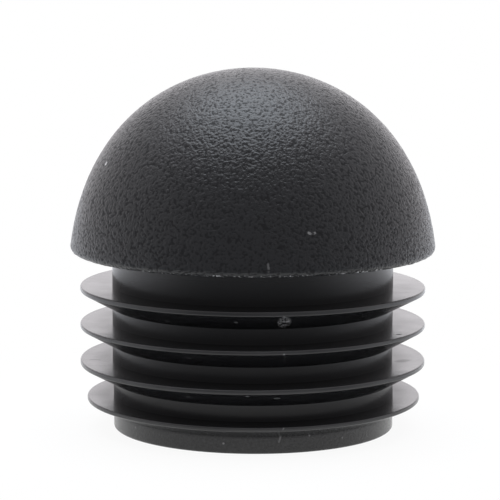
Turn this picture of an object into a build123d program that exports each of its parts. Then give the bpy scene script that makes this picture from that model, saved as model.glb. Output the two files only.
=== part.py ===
from build123d import *
import os
from math import radians, tan

# A domed end cap for a round tube, moulded in one piece in black polyethylene. The hollow
# insert goes into the tube until the shoulder of the head meets the tube's end, and its
# fins, made a little larger than the tube's bore, bend up and hold it there.
# Millimetres and degrees. The origin is the middle of the insert's open end, and +Z runs
# along the axis, towards the dome.

# ---------------------------------------------------------------- driving dimensions
# The tube
tube_outer_diameter = 32.0
tube_wall = 1.5

# Head
head_overhang = 0.0            # how far the head stands out past the tube's outside
dome_height = 16.05            # from the shoulder to the top of the dome
dome_lean = 7.4                # lean of the side, inwards from upright, just above the lip
flank_fullness = 0.675         # how far the side holds its lean, as a part of the height
crown_fullness = 0.445         # how far the crown stays level, as a part of the radius
lip_edge_radius = 0.55

# Insert
insert_length = 15.58          # from the shoulder to the open end
insert_clearance = 2.15        # between the insert and the tube's bore, at the shoulder
insert_draft = 0.1
mouth_edge_radius = 0.2

# Fins
full_fin_count = 3
fin_bite = 0.67                # how far a full fin is larger than the tube's bore, on radius
lead_fin_bite = 0.24           # the same for the smaller fin that goes in first
first_fin_drop = 2.98          # from the shoulder down to the top of the first fin
lead_fin_rise = 2.8            # from the open end up to the top of the lead fin
fin_rim_thickness = 0.4
fin_root_thickness = 1.9
lead_fin_root_thickness = 1.3
fin_edge_radius = 0.12

# Hollow
insert_wall = 2.0              # wall of the insert at its open end
hollow_draft = 1.0
crown_wall = 2.4               # thickness of the dome on the axis
roof_rise = 4.5                # rise of the hollow's domed roof above its side
roof_corner_radius = 1.5

# ---------------------------------------------------------------- worked-out sizes
head_radius = tube_outer_diameter / 2 + head_overhang
bore_radius = tube_outer_diameter / 2 - tube_wall
insert_radius = bore_radius - insert_clearance
shoulder_z = insert_length
crown_z = shoulder_z + dome_height
first_fin_z = shoulder_z - first_fin_drop
fin_pitch = (first_fin_z - lead_fin_rise) / full_fin_count


def insert_radius_at(z):
    """Outside radius of the drafted insert at a height."""
    return insert_radius - (shoulder_z - z) * tan(radians(insert_draft))


# ---------------------------------------------------------------- half sections
def head_section():
    """The solid head: level shoulder, rounded lip, and one fair curve up to the axis."""
    with BuildSketch() as sketch:
        with BuildLine():
            shoulder = Line((0, shoulder_z), (head_radius - lip_edge_radius, shoulder_z))
            lip = JernArc(shoulder @ 1, (1, 0), lip_edge_radius, 90 + dome_lean)
            flank_pull = flank_fullness * dome_height * (lip % 1)
            crown_pull = (crown_fullness * head_radius, crown_z)
            dome = Bezier(lip @ 1, lip @ 1 + flank_pull, crown_pull, (0, crown_z))
            Line(dome @ 1, shoulder @ 0)
        make_face()
    return sketch.sketch


def insert_section():
    """The drafted plug below the shoulder, with its edge at the open end rounded off."""
    with BuildSketch() as sketch:
        with BuildLine():
            Polyline(
                (0, 0),
                (insert_radius_at(0), 0),
                (insert_radius, shoulder_z),
                (0, shoulder_z),
                close=True,
            )
        make_face()
        mouth_edge = sketch.vertices().group_by(Axis.Y)[0].sort_by(Axis.X)[-1]
        fillet(mouth_edge, mouth_edge_radius)
    return sketch.sketch


def fin_section(top_z, rim_radius, root_thickness):
    """One barbed fin: flat on top, coned beneath, with a thin rounded rim."""
    root_z = top_z - root_thickness
    with BuildSketch() as sketch:
        with BuildLine():
            Polyline(
                (0, top_z),
                (rim_radius, top_z),
                (rim_radius, top_z - fin_rim_thickness),
                (insert_radius_at(root_z), root_z),
                (0, root_z),
                close=True,
            )
        make_face()
        rim = sketch.vertices().group_by(Axis.X)[-1]
        fillet(rim, fin_edge_radius)
    return sketch.sketch


def hollow_section():
    """What the core leaves open: a drafted bore under a domed roof that follows the crown."""
    roof_z = crown_z - crown_wall
    spring_z = roof_z - roof_rise
    mouth_radius = insert_radius_at(0) - insert_wall
    spring_radius = mouth_radius - spring_z * tan(radians(hollow_draft))
    with BuildSketch() as sketch:
        with BuildLine():
            side = Polyline((0, 0), (mouth_radius, 0), (spring_radius, spring_z))
            roof = TangentArc((0, roof_z), side @ 1, tangent=(1, 0))
            Line(roof @ 0, side @ 0)
        make_face()
        roof_corner = sketch.vertices().group_by(Axis.Y)[1]
        fillet(roof_corner, roof_corner_radius)
    return sketch.sketch


# ---------------------------------------------------------------- the cap
def end_cap():
    section = head_section() + insert_section()
    for number in range(full_fin_count):
        top_z = first_fin_z - number * fin_pitch
        section += fin_section(top_z, bore_radius + fin_bite, fin_root_thickness)
    section += fin_section(lead_fin_rise, bore_radius + lead_fin_bite, lead_fin_root_thickness)
    section -= hollow_section()
    return revolve(Plane.XZ * section, Axis.Z)


os.makedirs("parts", exist_ok=True)
export_step(end_cap(), "parts/end_cap.step")
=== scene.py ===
from math import atan2, cos, exp, hypot, pi, radians, sin, tan

import bmesh
import bpy
import numpy as np
from mathutils import Matrix, Vector, geometry, noise


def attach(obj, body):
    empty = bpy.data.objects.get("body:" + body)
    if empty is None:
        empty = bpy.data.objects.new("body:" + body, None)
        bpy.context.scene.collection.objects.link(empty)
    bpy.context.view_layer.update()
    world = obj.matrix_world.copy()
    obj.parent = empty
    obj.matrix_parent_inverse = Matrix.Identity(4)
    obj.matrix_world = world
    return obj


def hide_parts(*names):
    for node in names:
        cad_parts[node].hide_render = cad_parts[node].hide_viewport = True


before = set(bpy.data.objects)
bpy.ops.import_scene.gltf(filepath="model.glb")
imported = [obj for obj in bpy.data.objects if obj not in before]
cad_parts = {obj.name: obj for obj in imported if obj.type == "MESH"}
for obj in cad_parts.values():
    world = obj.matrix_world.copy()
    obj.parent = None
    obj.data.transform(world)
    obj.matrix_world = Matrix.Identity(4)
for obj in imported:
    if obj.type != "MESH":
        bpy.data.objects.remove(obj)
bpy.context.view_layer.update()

scene = bpy.context.scene
scene.view_settings.view_transform = "Standard"

# ---------------------------------------------------------------------------------------
# Camera. It stands a little higher than the cap, a quarter of a metre off, and looks
# slightly down on it.
mm = 0.001
camera_place = Vector((0.0, -237.67, 50.16)) * mm
camera_target = Vector((-0.25, 0.0, 15.624)) * mm
camera_roll = radians(0.205)

camera_data = bpy.data.cameras.new("camera")
camera_data.sensor_width = 36.0
camera_data.lens = 196.69
camera_data.clip_start = 0.01
camera = bpy.data.objects.new("camera", camera_data)
camera.location = camera_place
camera.rotation_mode = "QUATERNION"
aim = (camera_target - camera_place).to_track_quat("-Z", "Y").to_matrix()
camera.rotation_quaternion = (aim @ Matrix.Rotation(camera_roll, 3, "Z")).to_quaternion()
scene.collection.objects.link(camera)
scene.camera = camera


# ---------------------------------------------------------------------------------------
# Studio light. White walls all round, greyer on the camera's side and brightest at the
# back, and one softbox overhead that leans away from the camera and is weaker towards its
# left and right ends.
front_wall, side_wall, back_glow = 0.44, 0.88, 1.0
wall_tint, softbox_tint = (1.02, 0.99, 1.02, 1), (0.94, 1.0, 1.08, 1)
softbox_lean, softbox_side = radians(14), radians(-2.5)
softbox_rim, softbox_core = cos(radians(42)), cos(radians(10))
softbox_glow, softbox_ends = 2.98, 0.70


class Value:
    """A socket of a shader. Arithmetic on it adds Math nodes, and node() adds any other."""

    def __init__(self, tree, socket=None):
        self.tree, self.socket = tree, socket

    def node(self, kind, settings=(), inputs=(), output=0):
        made = self.tree.nodes.new("ShaderNode" + kind)
        for name, setting in dict(settings).items():
            setattr(made, name, setting)
        for name, value in dict(inputs).items():
            if isinstance(value, Value):
                self.tree.links.new(value.socket, made.inputs[name])
            else:
                made.inputs[name].default_value = value
        return Value(self.tree, made.outputs[output])

    def math(self, operation, *values):
        return self.node("Math", {"operation": operation}, dict(enumerate(values)))

    def __add__(self, other):
        return self.math("ADD", self, other)

    def __radd__(self, other):
        return self.math("ADD", other, self)

    def __sub__(self, other):
        return self.math("SUBTRACT", self, other)

    def __rsub__(self, other):
        return self.math("SUBTRACT", other, self)

    def __mul__(self, other):
        return self.math("MULTIPLY", self, other)

    def __truediv__(self, other):
        return self.math("DIVIDE", self, other)

    def __mod__(self, other):
        return self.math("FLOORED_MODULO", self, other)

    def __abs__(self):
        return self.math("ABSOLUTE", self)

    def step(self, low, high, start=0.0, end=1.0):
        """Turns smoothly from start to end as this value goes from low to high."""
        return self.node(
            "MapRange",
            {"interpolation_type": "SMOOTHSTEP"},
            {"Value": self, "From Min": low, "From Max": high, "To Min": start, "To Max": end},
        )

    def mix(self, first, second):
        """The colour that this value picks between two, given as colours or as Values."""
        return self.node(
            "Mix", {"data_type": "RGBA"}, {0: self, 6: first, 7: second}, output=2
        )


studio = bpy.data.worlds.new("studio")
studio.use_nodes = True
scene.world = studio
sky = Value(studio.node_tree)
direction = sky.node("TexCoord", output="Generated")
across = sky.node("SeparateXYZ", inputs={0: direction}, output="Y")
softbox_way = Vector((tan(softbox_side), tan(softbox_lean), 1)).normalized()
overhead = sky.node(
    "VectorMath", {"operation": "DOT_PRODUCT"}, {0: direction, 1: softbox_way}, output="Value")
walls = across.step(-1.0, 0.3, front_wall, side_wall)
walls = walls + across.step(0.75, 1.15, 0.0, back_glow)
aside = abs(sky.node("SeparateXYZ", inputs={0: direction}, output="X"))
softbox = overhead.step(softbox_rim, softbox_core) * aside.step(0.10, 0.45, 1.0, softbox_ends)
camera_ray = sky.node("LightPath", output="Is Camera Ray")
tint = softbox.mix(wall_tint, softbox_tint)
tint = camera_ray.mix(tint, (1, 1, 1, 1))
strength = camera_ray + (1 - camera_ray) * (walls + softbox * softbox_glow)
background = studio.node_tree.nodes["Background"]
studio.node_tree.links.new(tint.socket, background.inputs["Color"])
studio.node_tree.links.new(strength.socket, background.inputs["Strength"])

# ---------------------------------------------------------------------------------------
# Floor. A plain white sheet with a soft shadow round the cap. The patch that the cap
# covers is cut out, and the sheet is clear from below, so that the underside can be seen.
floor_radius = 0.6
floor_hole = 11.8 * mm
floor_drop = 0.02 * mm
floor_sides = 96
sheet_white = 0.9
bm = bmesh.new()
bmesh.ops.create_circle(bm, cap_ends=False, radius=floor_radius, segments=floor_sides)
bmesh.ops.create_circle(bm, cap_ends=False, radius=floor_hole, segments=floor_sides)
bmesh.ops.bridge_loops(bm, edges=bm.edges[:])
bmesh.ops.recalc_face_normals(bm, faces=bm.faces)
if sum(face.normal.z for face in bm.faces) < 0:
    bmesh.ops.reverse_faces(bm, faces=bm.faces)
bmesh.ops.translate(bm, verts=bm.verts, vec=(0, 0, -floor_drop))
floor_mesh = bpy.data.meshes.new("floor")
bm.to_mesh(floor_mesh)
bm.free()
floor = bpy.data.objects.new("floor", floor_mesh)
scene.collection.objects.link(floor)

floor_paint = bpy.data.materials.new("white_sheet")
floor_paint.use_nodes = True
tree = floor_paint.node_tree
tree.nodes.clear()
sheet = Value(tree)
place = sheet.node("TexCoord", output="Object")
distance = sheet.node("VectorMath", {"operation": "LENGTH"}, {0: place}, output="Value")
camera_ray = sheet.node("LightPath", output="Is Camera Ray")
glossy_ray = sheet.node("LightPath", output="Is Glossy Ray")

# The camera sees plain white, with a little of the lit sheet near the cap, and reflections
# see plain white near the cap. All else sees the lit sheet, which is greyer farther off on
# the camera's side.
glow = camera_ray * distance.step(0.012, 0.040, 0.93, 1.0)
glow = glow + glossy_ray * distance.step(0.024, 0.060, 1.0, 0.0)
bearing = sheet.node("SeparateXYZ", inputs={0: place}, output="Y") / distance
grey = distance.step(0.022, 0.050) * bearing.step(-1.0, 0.4, 0.69, 0.0)
lit = sheet.node("BsdfDiffuse", inputs={"Color": sheet_white - grey})
white = sheet.node("Emission", inputs={"Color": (1, 1, 1, 1), "Strength": 1.0})
seen = sheet.node("MixShader", inputs={0: glow, 1: lit, 2: white})
below = sheet.node("NewGeometry", output="Backfacing") * camera_ray
clear = sheet.node("BsdfTransparent")
seen = sheet.node("MixShader", inputs={0: below, 1: seen, 2: clear})
output = tree.nodes.new("ShaderNodeOutputMaterial")
tree.links.new(seen.socket, output.inputs["Surface"])
floor_paint.cycles.emission_sampling = "NONE"
floor_mesh.materials.append(floor_paint)

# ---------------------------------------------------------------------------------------
# End cap. One moulding in black polyethylene: a domed head with a fine eroded grain, and
# below it a smooth, hollow insert with three full fins and a smaller one that leads it in.
head_radius = 16.0
shoulder_z = 15.58
crown_z = shoulder_z + 16.05
lip_radius = 0.55
dome_lean = radians(7.4)
flank_fullness = 0.675
crown_fullness = 0.445
insert_radius = 12.35
insert_draft = tan(radians(0.1))
mouth_edge = 0.2
fins = [                        # top, rim radius, root thickness and rim thickness
    (2.8, 14.74, 1.3, 0.34),
    (6.067, 15.17, 1.9, 0.38),
    (9.333, 15.17, 1.9, 0.33),
    (12.6, 15.17, 1.9, 0.40),
]
fin_edge = 0.12
lead_top = fins[0][0]
fin_pitch = (fins[-1][0] - lead_top) / (len(fins) - 1)
insert_wall = 2.0
hollow_draft = tan(radians(1.0))
crown_wall, roof_rise = 2.4, 4.5
roof_z = crown_z - crown_wall
spring_z = roof_z - roof_rise
roof_corner = 1.5
gate_radius, gate_height, gate_taper = 0.9, 0.25, 0.1         # stub in the hollow's roof

dome_cells = 160                # squares from the lip to the middle of the crown
lip_steps = 4 * dome_cells
insert_steps = dome_cells
bridge_inner, bridge_outer = 13.2, 13.8                       # rings on the flat shoulder
roof_steps, lip_arc_steps = 17, 12
roof_corner_steps, edge_steps = 5, 4
curve_points = 2000             # along the dome's curve, to look its radius up in
sharp_angle = radians(28)
grain_cell = 0.36
grain_depth = 0.018
bead_level, bead_width, bead_height = 0.10, 0.08, 0.030       # flash under the lip
# How far each fin's rim has warped up and out on cooling, from the lead fin on. The rise has
# a steady part, then parts that turn once and twice round from the front, cosine and sine.
fin_rise = [
    (0.01, 0.01, 0.03, -0.05, -0.01),
    (0.026, -0.046, 0.005, 0.009, 0.021),
    (0.0, -0.003, 0.008, 0.016, 0.022),
    (-0.017, 0.051, -0.04, 0.012, 0.019),
]
fin_reach = [-0.09, 0.0, 0.0, 0.0]
insert_sway, sway_top = 0.09, 6.0      # how far the open end has moved aside, and from where


def insert_radius_at(z):
    return insert_radius - (shoulder_z - z) * insert_draft


def add_chain(bm, start, points):
    """Goes on from a vertex through (radius, height) points, in millimetres."""
    chain = [start]
    for r, z in points:
        chain.append(bm.verts.new((r * mm, 0, z * mm)))
        bm.edges.new(chain[-2:])
    return chain


def add_arc(bm, start, centre_r, centre_z, angle, steps):
    """Goes on from a vertex round a centre, and gives the last vertex."""
    swept = bmesh.ops.spin(
        bm, geom=[start], cent=(centre_r * mm, 0, centre_z * mm), axis=(0, 1, 0),
        angle=angle, steps=steps,
    )
    return next(item for item in swept["geom_last"] if isinstance(item, bmesh.types.BMVert))


def round_corner(bm, vert, radius, segments):
    a, b = (edge.other_vert(vert).co - vert.co for edge in vert.link_edges)
    bmesh.ops.bevel(
        bm, geom=[vert], offset=radius * mm / tan(a.angle(b) / 2), offset_type="OFFSET",
        segments=segments, profile=0.5, affect="VERTICES", material=-1,
    )


def turn(bm, geom, steps):
    """Turns a chain all the way round the cap's axis."""
    bmesh.ops.spin(
        bm, geom=geom, cent=(0, 0, 0), axis=(0, 0, 1), angle=2 * pi, steps=steps,
        use_merge=True,
    )


# The insert and the hollow, from the gate stub round the mouth and up to the shoulder
bm = bmesh.new()
mouth_radius = insert_radius_at(0) - insert_wall
spring_radius = mouth_radius - spring_z * hollow_draft
roof_ball = (spring_radius**2 + roof_rise**2) / (2 * roof_rise)
roof_angle = atan2(spring_radius, roof_ball - roof_rise)
gate_angle = atan2(gate_radius, roof_ball)
gate_foot = roof_z - roof_ball * (1 - cos(gate_angle))
middle = bm.verts.new((0, 0, (roof_z - gate_height) * mm))
stub = add_chain(bm, middle, [
    (gate_radius - gate_taper, roof_z - gate_height),
    (roof_ball * sin(gate_angle), gate_foot),
])
spring = add_arc(bm, stub[-1], 0, roof_z - roof_ball, roof_angle - gate_angle, roof_steps)
points = [(mouth_radius, 0), (insert_radius_at(0), 0)]
for top, rim, root, thick in fins:
    points += [
        (insert_radius_at(top - root), top - root),
        (rim, top - thick),
        (rim, top),
        (insert_radius_at(top), top),
    ]
points += [(insert_radius, shoulder_z), (bridge_inner, shoulder_z)]
chain = add_chain(bm, spring, points)
round_corner(bm, spring, roof_corner, roof_corner_steps)
round_corner(bm, chain[2], mouth_edge, edge_steps)
for fin in range(len(fins)):    # four points each, the middle two of which are the rim's
    for corner in chain[4 + 4 * fin:6 + 4 * fin]:
        round_corner(bm, corner, fin_edge, edge_steps)
turn(bm, bm.verts[:] + bm.edges[:], insert_steps)

# The outer shoulder and the rounded lip
start = bm.verts.new((bridge_outer * mm, 0, shoulder_z * mm))
under = add_chain(bm, start, [(head_radius - lip_radius, shoulder_z)])
edges_before = set(bm.edges)
lip_centre = (head_radius - lip_radius, shoulder_z + lip_radius)
lip_top = add_arc(bm, under[-1], *lip_centre, -(pi / 2 + dome_lean), lip_arc_steps)
lip = {under[0], under[1], lip_top} | {
    vert for edge in bm.edges if edge not in edges_before for vert in edge.verts
}
lip_edges = [edge for edge in bm.edges if set(edge.verts) <= lip]
dome_foot = lip_top.co.copy()
turn(bm, list(lip) + lip_edges, lip_steps)
shoulder_rings = [
    edge for edge in bm.edges
    if edge.is_boundary and all(abs(vert.co.z - shoulder_z * mm) < 1e-7 for vert in edge.verts)
]
bmesh.ops.bridge_loops(bm, edges=shoulder_rings)

# The dome, from half a cube swelled out to one fair curve from the lip to the crown
lean = Vector((-sin(dome_lean), 0, cos(dome_lean)))
crown = Vector((0, 0, crown_z * mm))
curve = geometry.interpolate_bezier(
    dome_foot,
    dome_foot + flank_fullness * (crown_z - shoulder_z) * mm * lean,
    crown + Vector((crown_fullness * head_radius * mm, 0, 0)),
    crown,
    curve_points,
)
steepness = np.array([atan2(point.x, point.z - dome_foot.z) for point in curve])[::-1]
reach = np.array([hypot(point.x, point.z - dome_foot.z) for point in curve])[::-1]
half = bmesh.new()
bmesh.ops.create_cube(half, size=2)
bmesh.ops.subdivide_edges(half, edges=half.edges[:], cuts=dome_cells - 1, use_grid_fill=True)
bmesh.ops.bisect_plane(
    half, geom=half.verts[:] + half.edges[:] + half.faces[:], dist=1e-5,
    plane_co=(0, 0, 0), plane_no=(0, 0, 1), clear_inner=True,
)
for vert in half.verts:
    way = Vector(tan(step * pi / 4) for step in vert.co).normalized()
    length = np.interp(atan2(hypot(way.x, way.y), way.z), steepness, reach)
    vert.co = way * length + Vector((0, 0, dome_foot.z))
dome_mesh = bpy.data.meshes.new("dome")
half.to_mesh(dome_mesh)
half.free()
bm.from_mesh(dome_mesh)
bpy.data.meshes.remove(dome_mesh)
bmesh.ops.remove_doubles(bm, verts=bm.verts[:], dist=1e-6)
bmesh.ops.recalc_face_normals(bm, faces=bm.faces[:])

# Marks for the finish and the painted shade: the faces of the stem between the fins and the
# fins' flat tops, which take painted shade, the points of their rims, and those of the grain.
# The same pass moves and warps the insert, raises the fine broken bead of flash along the
# parting line under the lip, and erodes the grain all over the head above the flat shoulder.
parting_line = shoulder_z + bead_level
skin_inside = 14.5              # nearer than this to the shoulder's middle is the hollow
bead_inside = 15.5              # radius outside which the bead is
bm.normal_update()
grain = bm.verts.layers.float.new("grain")
rim = bm.verts.layers.float.new("rim")
stem = bm.faces.layers.float.new("stem")
fin_top = bm.faces.layers.float.new("fin_top")
for face in bm.faces:
    middle = face.calc_center_median() / mm
    away = hypot(middle.x, middle.y)
    if lead_top < middle.z < shoulder_z and abs(away - insert_radius) < 0.1:
        face[stem] = 1.0
    elif middle.z < shoulder_z - 0.1 and away > insert_radius and face.normal.z > 0.9:
        face[fin_top] = 1.0
for vert in bm.verts:
    away = hypot(vert.co.x, vert.co.y) / mm
    height = vert.co.z / mm
    if height < shoulder_z - 0.002:
        moved = (sway_top - height) / (sway_top - lead_top)
        vert.co.x += insert_sway * mm * min(max(moved, 0.0), 1.0)
        if away < insert_radius + 0.01:
            continue
        fin = next(n for n, (top, *_) in enumerate(fins) if height < top + 0.01)
        turn_angle = atan2(vert.co.x, -vert.co.y)
        waves = (1, cos(turn_angle), sin(turn_angle), cos(2 * turn_angle), sin(2 * turn_angle))
        share = (away - insert_radius) / (fins[fin][1] - insert_radius)
        vert[rim] = 1.0 if away > fins[fin][1] - 0.05 else 0.0
        vert.co.xy *= 1 + share * fin_reach[fin] / away
        vert.co.z += share * sum(part * wave for part, wave in zip(fin_rise[fin], waves)) * mm
        continue
    if hypot(away, height - shoulder_z) < skin_inside:
        continue
    over = (height - parting_line) / bead_width
    if away > bead_inside and abs(over) < 2.5:
        lump = noise.noise(vert.co / (0.33 * mm)) + 0.6 * noise.noise(vert.co / (2.0 * mm))
        rise = bead_height * exp(-over * over) * max(2.2 * lump - 0.3, 0)
        vert.co += vert.normal * rise * mm
    if height < shoulder_z + 0.002:
        continue
    vert[grain] = 1.0
    spot = vert.co / (grain_cell * mm)
    vert.co += vert.normal * grain_depth * mm * noise.noise(spot)

cap_mesh = bpy.data.meshes.new("cap")
bm.to_mesh(cap_mesh)
bm.free()
cap_mesh.shade_smooth()
cap_mesh.set_sharp_from_angle(angle=sharp_angle)
cap = bpy.data.objects.new("cap", cap_mesh)
scene.collection.objects.link(cap)
weighted = cap.modifiers.new("flat_faces_stay_flat", "WEIGHTED_NORMAL")
weighted.keep_sharp = True
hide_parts("end_cap")
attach(cap, "root")

plastic = bpy.data.materials.new("black_polyethylene")
plastic.use_nodes = True
tree = plastic.node_tree
skin = Value(tree)
place = skin.node("TexCoord", output="Object")
place = skin.node("VectorMath", {"operation": "SCALE"}, {0: place, "Scale": 1000.0})
grained = skin.node("Attribute", {"attribute_name": "grain"}, output="Fac")


def pattern(size, detail=2.0, roughness=0.5):
    """Noise from 0 to 1 with blotches of about this size, in millimetres."""
    return skin.node(
        "TexNoise", inputs={"Vector": place, "Scale": 1 / size, "Detail": detail,
                            "Roughness": roughness}, output="Fac")


def marks(listed):
    """The places near any of the listed strokes: (start, end, half width, strength)."""
    total = 0.0
    for start, end, width, strength in listed:
        start, end = Vector(start), Vector(end)
        along = end - start
        nearest = skin.node("VectorMath", {"operation": "SUBTRACT"}, {0: place, 1: start})
        nearest = skin.node(
            "VectorMath", {"operation": "DOT_PRODUCT"},
            {0: nearest, 1: along / max(along.length_squared, 1e-9)}, output="Value")
        nearest = skin.node("Clamp", inputs={"Value": nearest})
        nearest = skin.node("VectorMath", {"operation": "SCALE"}, {0: along, "Scale": nearest})
        nearest = skin.node("VectorMath", {"operation": "ADD"}, {0: nearest, 1: start})
        gap = skin.node(
            "VectorMath", {"operation": "DISTANCE"}, {0: place, 1: nearest}, output="Value")
        total = total + gap.step(width * 0.4, width, strength, 0.0)
    return total


away = skin.node("VectorMath", {"operation": "MULTIPLY"}, {0: place, 1: (1, 1, 0)})
away = skin.node("VectorMath", {"operation": "LENGTH"}, {0: away}, output="Value")
level = skin.node("SeparateXYZ", inputs={0: place}, output="Z")
smooth = 1 - grained
rims = skin.node("Attribute", {"attribute_name": "rim"}, output="Fac") * smooth
rims = rims * pattern(6.0, 3.0).step(0.3, 0.7, 0.4, 1.8)
# Painted highlight: pale speckles along the flash bead under the lip
bead_glints = away.step(15.4, 15.6) * abs(level - parting_line).step(0.04, 0.12, 1.0, 0.0)
bead_glints = bead_glints * pattern(0.19, 2.0).step(0.54, 0.62)
bead_glints = bead_glints * pattern(2.5, 2.0).step(0.40, 0.60, 0.15, 1.0)
foot = smooth * level.step(1.3, 1.6, 1.0, 0.0) * away.step(11.0, 12.2)

# Finish: pebbled grain over slow swells on the head, and a moulded gloss with faint ripples
# on the insert, rubbed rough round the foot
pebbles = pattern(0.26, 1.0)
rubbed = pattern(0.22, 3.0, 0.7)
height = grained * pebbles * (0.058 + pattern(4.0) * 0.042)
height = height + smooth * pattern(0.8, 3.0) * 0.004 + foot * rubbed * 0.05
bump = skin.node("Bump", inputs={"Height": height, "Distance": 0.001, "Strength": 1.0},
                 output="Normal")
roughness = 0.205 + grained * 0.085 + (pattern(2.5, 4.0) - 0.5) * 0.12
roughness = roughness + rims * 0.01 - foot * 0.02

# Specks of dust, a tuft of lint under the top fin, and a few scuffs. Each mark is a stroke
# from one point to another, with its half width and its strength.
dust = marks([
    ((-12.60, -4.99, 23.84), (-12.60, -4.99, 23.74), 0.20, 0.7),
    ((4.60, -14.70, 19.20), (4.74, -14.66, 19.13), 0.15, 0.2),
    ((4.98, -14.60, 19.12), (5.12, -14.56, 19.19), 0.14, 0.17),
    ((1.26, -15.87, 16.73), (1.32, -15.95, 16.16), 0.13, 0.09),
    ((-0.23, -15.75, 15.67), (-0.23, -15.75, 15.67), 0.16, 0.30),
    ((-0.40, -14.79, 5.47), (-0.40, -14.79, 5.47), 0.20, 0.16),
    ((1.93, -14.10, 5.17), (2.19, -14.05, 5.16), 0.25, 0.10),
    ((-5.35, -12.95, 8.32), (-5.35, -12.95, 8.32), 0.25, 0.08),
    ((-5.35, -12.87, 5.02), (-5.35, -12.87, 5.02), 0.28, 0.10),
    ((-8.93, -9.07, 4.38), (-8.93, -9.07, 4.38), 0.22, 0.08),
    ((-10.06, -8.30, 11.07), (-10.16, -8.10, 11.07), 0.20, 0.10),
    ((-7.24, -11.03, 11.15), (-7.24, -11.03, 11.15), 0.25, 0.10),
    ((-1.37, -13.82, 11.52), (-1.37, -13.82, 11.52), 0.25, 0.10),
    ((-2.42, -12.07, 0.88), (-2.42, -12.07, 0.88), 0.13, 0.20),
    ((-10.06, -7.01, 1.15), (-10.06, -7.01, 1.15), 0.12, 0.14),
    ((4.84, -11.37, 1.45), (4.84, -11.37, 1.45), 0.12, 0.14),
    ((7.69, -9.69, 0.92), (7.69, -9.69, 0.92), 0.12, 0.14),
    ((2.26, -12.12, 1.05), (2.42, -12.09, 1.60), 0.11, 0.12),
    ((2.44, -14.62, 2.35), (2.68, -14.46, 2.80), 0.12, 0.18),
    ((2.62, -14.95, 9.02), (2.62, -14.15, 9.33), 0.13, 0.10),
    ((2.70, -14.60, 8.80), (2.66, -13.00, 7.90), 0.13, 0.025),
])
tuft = skin.node("VectorMath", {"operation": "SUBTRACT"}, {0: place, 1: (2.66, -13.63, 11.52)})
tuft = skin.node("VectorMath", {"operation": "MULTIPLY"}, {0: tuft, 1: (1.6, 0.5, 0.9)})
tuft = skin.node("VectorMath", {"operation": "LENGTH"}, {0: tuft}, output="Value")
strands = abs(pattern(0.35, 1.0) - 0.5).step(0.01, 0.045, 1.0, 0.0)
strands = strands + abs(pattern(0.28, 1.0) - 0.46).step(0.01, 0.04, 0.7, 0.0)
tuft = tuft.step(0.7, 1.05, 1.0, 0.0) * (strands + 0.06)
dull = marks([
    ((12.47, -6.81, 9.33), (12.67, -6.70, 9.33), 0.22, 0.95),
    ((-14.23, -1.51, 6.07), (-13.34, -1.73, 6.07), 0.12, 0.4),
    ((12.99, -1.90, 6.07), (13.40, -1.40, 6.07), 0.70, 0.2),
])

# The colour is black, paler where there is dust or lint, with painted highlights as pale
# speckles along the flash bead under the lip, and a little paler on the fins' rims and the
# rubbed foot
shader = tree.nodes["Principled BSDF"]
pale = dust + tuft * 0.3 + bead_glints * 0.6 + rims * 0.009 + foot * rubbed.step(0.3, 0.7) * 0.02
pale = pale + smooth * 0.006 + 0.005
colour = skin.node("CombineColor", inputs={
    0: pale, 1: pale + grained * 0.0008 + 0.0005, 2: pale + grained * 0.002 + 0.0012})
shader.inputs["IOR"].default_value = 1.5
tree.links.new(colour.socket, shader.inputs["Base Color"])
tree.links.new(roughness.socket, shader.inputs["Roughness"])
tree.links.new(bump.socket, shader.inputs["Normal"])

# A dark, dull surface, mixed in as painted shade in the grain's pits, on the stem just above
# each fin, on the lower fins' tops by the stem and on the underside of the lip, and as the
# real dull finish of scuffs
shade_and_scuff_finish = skin.node("BsdfPrincipled", inputs={
    "Base Color": (0.018, 0.018, 0.019, 1), "Roughness": 0.9, "Specular IOR Level": 0.1})
grazing = skin.node("LayerWeight", inputs={"Blend": 0.5}, output="Facing")
# Painted shade in the grain's pits, a little weaker where the surface is seen edge on
pit_shade = grained * (1 - pebbles.step(0.34, 0.50)) * (0.82 - grazing * 0.34)
# Painted shade on the stem, darkest just above each fin and fading upwards
above_fin = (level - lead_top) % fin_pitch
stem_shade = skin.node("Attribute", {"attribute_name": "stem"}, output="Fac")
stem_shade = stem_shade * above_fin.step(0.3, 2.6, 0.60, 0.0)
# Painted shade on the lower fins' tops, darkest next to the stem under the fin above
fin_top_shade = skin.node("Attribute", {"attribute_name": "fin_top"}, output="Fac")
fin_top_shade = fin_top_shade * level.step(4.0, 13.0, 0.30, 0.05) * away.step(12.6, 14.6, 1.0, 0.0)
# Painted shade on the lip's underside, strongest at its lowest edge and gone at the parting
# line
under_lip_shade = away.step(15.2, 15.4) * level.step(shoulder_z + 0.02, parting_line, 0.45, 0.0)
surface = skin.node("MixShader", inputs={
    0: pit_shade + stem_shade + fin_top_shade + under_lip_shade + dull,
    1: Value(tree, shader.outputs["BSDF"]),
    2: shade_and_scuff_finish,
})
tree.links.new(surface.socket, tree.nodes["Material Output"].inputs["Surface"])
cap_mesh.materials.append(plastic)
